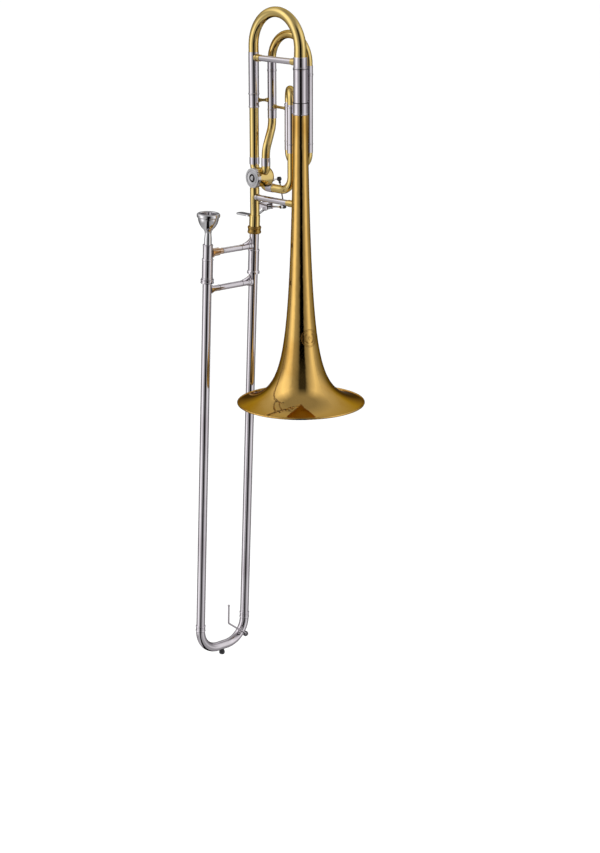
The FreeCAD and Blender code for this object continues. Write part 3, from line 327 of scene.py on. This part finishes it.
def make_world():
    """White studio; metal mirrors a soft box on each side and a dark gap where the camera stands."""
    world = bpy.data.worlds.new("studio")
    bpy.context.scene.world = world
    world.use_nodes = True
    nodes, links = world.node_tree.nodes, world.node_tree.links
    coordinates = nodes.new("ShaderNodeTexCoord")
    turn = nodes.new("ShaderNodeVectorRotate")
    turn.rotation_type = "Z_AXIS"
    turn.inputs["Angle"].default_value = math.pi / 2 - CAMERA_AZIMUTH
    links.new(coordinates.outputs["Generated"], turn.inputs["Vector"])
    split = nodes.new("ShaderNodeSeparateXYZ")
    links.new(turn.outputs["Vector"], split.inputs["Vector"])
    angle = nodes.new("ShaderNodeMath")
    angle.operation = "ARCTAN2"
    links.new(split.outputs["Y"], angle.inputs[0])
    links.new(split.outputs["X"], angle.inputs[1])
    fraction = nodes.new("ShaderNodeMapRange")
    fraction.inputs["From Min"].default_value = -math.pi
    fraction.inputs["From Max"].default_value = math.pi
    links.new(angle.outputs["Value"], fraction.inputs["Value"])

    across = nodes.new("ShaderNodeMapRange")
    across.inputs["From Min"].default_value = -1.0
    links.new(split.outputs["Y"], across.inputs["Value"])

    def greys(brightness, reach, factor):
        """A ramp of greys for places from -reach to reach."""
        ramp = nodes.new("ShaderNodeValToRGB")
        elements = ramp.color_ramp.elements
        stops = [((place + reach) / (2 * reach), (value, value, value, 1)) for place, value in brightness]
        elements[0].position, elements[0].color = stops[0]
        elements[1].position, elements[1].color = stops[-1]
        for position, colour in stops[1:-1]:
            elements.new(position).color = colour
        links.new(factor.outputs["Result"], ramp.inputs["Fac"])
        return ramp.outputs["Color"]

    def fade(colour, start, full, target):
        """Blend towards a grey, or another colour, as the direction's height goes from start to full."""
        rise = nodes.new("ShaderNodeMapRange")
        rise.inputs["From Min"].default_value = start
        rise.inputs["From Max"].default_value = full
        links.new(split.outputs["Z"], rise.inputs["Value"])
        mix = nodes.new("ShaderNodeMix")
        mix.data_type = "RGBA"
        links.new(rise.outputs["Result"], mix.inputs[MIX_FACTOR])
        links.new(colour, mix.inputs[MIX_FIRST])
        if isinstance(target, float):
            mix.inputs[MIX_SECOND].default_value = (target, target, target, 1)
        else:
            links.new(target, mix.inputs[MIX_SECOND])
        return mix.outputs[MIX_RESULT]

    eye_level = greys(EYE_LEVEL_RING, 180, fraction)
    mirrored = fade(eye_level, 0.12, 0.40, greys(HIGH_RING, 180, fraction))
    mirrored = fade(mirrored, 0.72, 0.93, OVERHEAD)
    mirrored = fade(mirrored, -0.35, -0.60, greys(UNDERFOOT_STRIP, 1, across))
    rays = nodes.new("ShaderNodeLightPath")
    choice = nodes.new("ShaderNodeMix")
    choice.data_type = "RGBA"
    links.new(rays.outputs["Is Glossy Ray"], choice.inputs[MIX_FACTOR])
    choice.inputs[MIX_FIRST].default_value = (OPEN_WHITE, OPEN_WHITE, OPEN_WHITE, 1)
    links.new(mirrored, choice.inputs[MIX_SECOND])
    background = nodes["Background"]
    links.new(choice.outputs[MIX_RESULT], background.inputs["Color"])
    background.inputs["Strength"].default_value = 1.0


def make_lamp(name, azimuth, height, distance, width, power):
    """A soft box aimed at the middle of the instrument, azimuth degrees to the right of the camera."""
    angle = CAMERA_AZIMUTH + math.radians(azimuth)
    place = Vector((math.sin(angle) * distance, -math.cos(angle) * distance, height))
    data = bpy.data.lights.new(name, "AREA")
    data.shape = "RECTANGLE"
    data.size, data.size_y = width, width * 1.6
    data.energy = power
    lamp = bpy.data.objects.new(name, data)
    bpy.context.scene.collection.objects.link(lamp)
    aim = Vector((0, 0, 0.1)) - place
    lamp.visible_glossy = False
    lamp.matrix_world = Matrix.Translation(place) @ aim.to_track_quat("-Z", "Y").to_matrix().to_4x4()


bpy.context.scene.view_settings.view_transform = "Standard"
make_camera()
make_floor()
make_world()
make_lamp("key_soft_box", -58, 1.4, 3.0, 0.9, 26)
make_lamp("fill_soft_box", 76, 0.9, 3.2, 0.6, 12)


# ---------------------------------------------------------------- mesh helpers
SLIDE_TOP = Vector(JOINTS["slide_section_swivel"]["pos_m"])
DOWN_SLIDE = Vector(JOINTS["hand_slide_travel"]["axis"]).normalized()
SLIDE_FACE = DOWN_SLIDE.cross(Vector((0, 1, 0))).normalized()


def mm(value):
    return value * 0.001


def on_slide(across, distance, proud=0.0):
    """A point on the hand slide, in metres: across is Y, distance runs down it, proud faces the bell."""
    return SLIDE_TOP + DOWN_SLIDE * mm(distance) + Vector((0, mm(across), 0)) + SLIDE_FACE * mm(proud)


def piece_from(name, build, body, material):
    """Make an object from a bmesh builder, dress it and fix it to a body."""
    mesh = bpy.data.meshes.new(name)
    shape = bmesh.new()
    build(shape)
    bmesh.ops.recalc_face_normals(shape, faces=shape.faces)
    shape.to_mesh(mesh)
    shape.free()
    mesh.polygons.foreach_set("use_smooth", [True] * len(mesh.polygons))
    thing = bpy.data.objects.new(name, mesh)
    bpy.context.scene.collection.objects.link(thing)
    dress(thing, material)
    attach(thing, body)
    return thing


def add_strand(shape, points, radii, sides=12, flatten=1.0, flat_along=None):
    """Add a closed tube through points with a radius at each; flatten squeezes it along one way."""
    rings = []
    normal = None
    for number, point in enumerate(points):
        before = points[max(number - 1, 0)]
        after = points[min(number + 1, len(points) - 1)]
        tangent = (after - before).normalized()
        if normal is None:
            seed = flat_along or Vector((0.3, 0.5, 0.8))
            normal = (seed - tangent * seed.dot(tangent)).normalized()
        else:
            normal = (normal - tangent * normal.dot(tangent)).normalized()
        side = tangent.cross(normal)
        radius = radii[number] if isinstance(radii, (list, tuple)) else radii
        loop = []
        for turn in range(sides):
            angle = 2 * math.pi * turn / sides
            offset = normal * (math.cos(angle) * radius * flatten) + side * (math.sin(angle) * radius)
            loop.append(shape.verts.new(point + offset))
        rings.append(loop)
    for first, second in zip(rings, rings[1:]):
        for turn in range(sides):
            following = (turn + 1) % sides
            shape.faces.new((first[turn], first[following], second[following], second[turn]))
    shape.faces.new(list(reversed(rings[0])))
    shape.faces.new(rings[-1])


def add_ring(shape, centre, axis, ring, tube, around=48, sides=10, squash=1.0):
    """Add a torus; squash flattens it along its axis."""
    axis = axis.normalized()
    seed = Vector((1, 0, 0)) if abs(axis.x) < 0.9 else Vector((0, 1, 0))
    first = axis.cross(seed).normalized()
    second = axis.cross(first)
    loops = []
    for step in range(around):
        angle = 2 * math.pi * step / around
        out = first * math.cos(angle) + second * math.sin(angle)
        loop = []
        for turn in range(sides):
            bend = 2 * math.pi * turn / sides
            offset = out * (ring + tube * math.cos(bend)) + axis * (tube * squash * math.sin(bend))
            loop.append(shape.verts.new(centre + offset))
        loops.append(loop)
    for step in range(around):
        here, following = loops[step], loops[(step + 1) % around]
        for turn in range(sides):
            after = (turn + 1) % sides
            shape.faces.new((here[turn], here[after], following[after], following[turn]))


def bezier(start, control, end, steps=14):
    """Points on a quadratic curve."""
    points = []
    for step in range(steps + 1):
        t = step / steps
        points.append(start * (1 - t) ** 2 + control * (2 * t * (1 - t)) + end * t**2)
    return points


def coil(centre, axis, radius, pitch, turns, steps=20):
    """Points on a helix about an axis."""
    axis = axis.normalized()
    seed = Vector((1, 0, 0)) if abs(axis.x) < 0.9 else Vector((0, 1, 0))
    first = axis.cross(seed).normalized()
    second = axis.cross(first)
    points = []
    for step in range(int(turns * steps) + 1):
        angle = 2 * math.pi * step / steps
        out = first * math.cos(angle) + second * math.sin(angle)
        points.append(centre + out * radius + axis * (pitch * step / steps))
    return points


# ---------------------------------------------------------------- bell ornament
def bell_surface():
    """A function from (turn, height) to a point on the bell's outside and its normal."""
    tree = BVHTree.FromObject(NODES["bell"], bpy.context.evaluated_depsgraph_get())

    def touch(turn, height):
        out = Vector((math.sin(turn), -math.cos(turn), 0))
        hit, normal, _, _ = tree.ray_cast(out * 0.3 + Vector((0, 0, height)), -out)
        return hit, normal

    return touch


ORNAMENT_TURN = math.radians(80.0)
ORNAMENT_HEIGHT = 0.118
ORNAMENT_SIZE = 0.0135
ORNAMENT_WIDTH = 1.1


def make_bell_ornament():
    """A plain engraved wreath: a ring, two leafy sprays and a lozenge, as fine lines on the bell."""
    touch = bell_surface()

    def place(x, y):
        height = ORNAMENT_HEIGHT + y * ORNAMENT_SIZE
        middle, _ = touch(ORNAMENT_TURN, height)
        radius = math.hypot(middle.x, middle.y)
        return touch(ORNAMENT_TURN + x * ORNAMENT_WIDTH * ORNAMENT_SIZE / radius, height)

    def stroke(shape, outline, width):
        line = [place(x, y) for x, y in outline]
        add_strand(shape, [point for point, _ in line], mm(width), 6, 0.15, line[0][1])

    def build(shape):
        for scale, width in ((1.0, 0.50), (0.86, 0.34)):
            ring = [(scale * math.cos(a), scale * 1.08 * math.sin(a)) for a in
                    (2 * math.pi * step / 64 for step in range(65))]
            stroke(shape, ring, width)
        for side in (-1, 1):
            stem = [(side * 0.62 * math.sin(a), -0.62 * math.cos(a)) for a in
                    (math.radians(10 + 14 * step) for step in range(11))]
            stroke(shape, stem, 0.36)
            for number, (x, y) in enumerate(stem[1:-1]):
                for lean in (0.9, -0.9):
                    angle = math.radians(24 + 14 * number) + lean
                    tip = (x + side * 0.17 * math.cos(angle), y + 0.17 * math.sin(angle))
                    bulge = (x + side * 0.07 * math.cos(angle + 0.5), y + 0.07 * math.sin(angle + 0.5))
                    stroke(shape, [(x, y), bulge, tip], 0.34)
        lozenge = [(0, 0.30), (0.20, 0), (0, -0.30), (-0.20, 0), (0, 0.30)]
        stroke(shape, lozenge, 0.36)
        stroke(shape, [(x * 0.5, y * 0.5) for x, y in lozenge], 0.30)

    piece_from("bell_engraving", build, "bell_section", "engraved_line")


# ---------------------------------------------------------------- slide fittings
# Millimetres down the hand slide.
HAND_BRACE_PLACE = 58.5
OUTER_BRACE_PLACE = 121.4


def make_brace_fingers():
    """The curved reinforcing fingers that stand over the ends of the hand slide's braces."""
    def finger(name, body, distance, tube_radius, rise):
        def build(shape):
            foot = on_slide(-tube_radius - 17, distance - 4.6)
            corner = on_slide(-tube_radius - 3.0, distance - 5.6)
            tip = on_slide(-tube_radius - 0.6, distance - rise)
            points = bezier(foot, corner, tip, 18)
            radii = [mm(0.9 + 1.5 * math.sin(math.pi * min(1, 0.18 + step / 22))) for step in range(19)]
            add_strand(shape, points, radii, 14, 0.8, SLIDE_FACE)

        piece_from(name, build, body, "nickel_silver")

    finger("hand_brace_finger", "slide_section", HAND_BRACE_PLACE, 8.0, 16.0)
    finger("outer_brace_finger", "outer_slide", OUTER_BRACE_PLACE, 7.6, 13.0)


def make_brace_seam_shadows():
    """Painted shadow: thin dark rings on the hand slide's braces where their flanges end."""
    def rings(name, body, distance, places, ring):
        def build(shape):
            for across in places:
                add_ring(shape, on_slide(across, distance), Vector((0, 1, 0)), mm(ring), mm(0.4))

        piece_from(name, build, body, "seam_shadow")

    rings("hand_brace_seam_shadows", "slide_section", HAND_BRACE_PLACE, (-70.4, -29.7), 4.9)
    rings("outer_brace_seam_shadows", "outer_slide", OUTER_BRACE_PLACE, (-75.8, -25.8), 4.9)


def make_seam_shadows():
    """Painted shadow: thin dark rings where one ferrule or sleeve ends and the next begins, standing in for the
    shade in the gap.
    """
    def seams(name, body, rows):
        def build(shape):
            for node, end, tube in rows:
                low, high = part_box(node)
                centre = (low + high) / 2
                radius = (high.x - low.x) / 2
                height = high.z if end == "top" else low.z
                place = Vector((centre.x, centre.y, height))
                add_ring(shape, place, Vector((0, 0, 1)), radius - mm(tube) * 0.6, mm(tube), 64, 8, 1.0)

        piece_from(name, build, body, "seam_shadow")

    seams("tuning_slide_seam_shadows", "bell_section", [
        ("bell_side_tuning_sleeve", "top", 0.55),
        ("bell_ferrule", "top", 0.45),
        ("neck_tuning_ferrule", "top", 0.5),
    ])


def make_springs():
    """Wound springs in place of the plain coils; the lever's has legs."""
    low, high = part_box("lever_spring")
    centre = (low + high) / 2
    start = Vector((centre.x, low.y + 0.0004, centre.z))

    def lever_spring(shape):
        points = coil(start, Vector((0, 1, 0)), mm(6.0), mm(1.1), 2.6)
        first_leg = points[0] + Vector((-0.008, 0, -0.001))
        last_leg = points[-1] + Vector((-0.006, 0, 0.002))
        add_strand(shape, [first_leg, *points, last_leg], mm(0.5), 8)

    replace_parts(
        piece_from("thumb_lever_spring", lever_spring, "bell_section", "spring_steel"), "lever_spring"
    )

    pivot = Vector(JOINTS["water_key_pivot"]["pos_m"])
    axis = Vector(JOINTS["water_key_pivot"]["axis"]).normalized()

    def key_spring(shape):
        for side in (-1, 1):
            first = pivot + axis * mm(4.5 * side)
            add_strand(shape, coil(first, axis * side, mm(2.42), mm(0.62), 2.4), mm(0.28), 8)

    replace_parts(piece_from("water_key_coils", key_spring, "outer_slide", "spring_steel"), "water_key_spring")


def make_cap_groove_shade():
    """Painted shade: a dark ring in the groove round the button in the middle of the valve cap."""
    low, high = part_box("valve_cap")
    centre = Vector(((low.x + high.x) / 2, low.y + mm(0.9), (low.z + high.z) / 2))

    def build(shape):
        add_ring(shape, centre, Vector((0, 1, 0)), mm(5.4), mm(1.0), 48, 8, 0.45)

    piece_from("valve_cap_groove_shade", build, "bell_section", "seam_shadow")


def make_cap_knurl():
    """Fine ridges round the valve cap's edge, to grip it by."""
    low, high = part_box("valve_cap")
    centre = (low + high) / 2
    radius = (high.x - low.x) / 2
    count = 56

    def build(shape):
        for number in range(count):
            angle = 2 * math.pi * number / count
            out = Vector((math.cos(angle), 0, math.sin(angle)))
            near = Vector((centre.x, low.y + 0.0016, centre.z)) + out * radius
            far = Vector((centre.x, high.y - 0.0006, centre.z)) + out * radius
            add_strand(shape, [near, near.lerp(far, 0.5), far], [mm(0.2), mm(0.5), mm(0.2)], 6)

    piece_from("valve_cap_knurl", build, "bell_section", "silver_plate")


make_bell_ornament()
make_brace_fingers()
make_brace_seam_shadows()
make_seam_shadows()
make_springs()
make_cap_groove_shade()
make_cap_knurl()
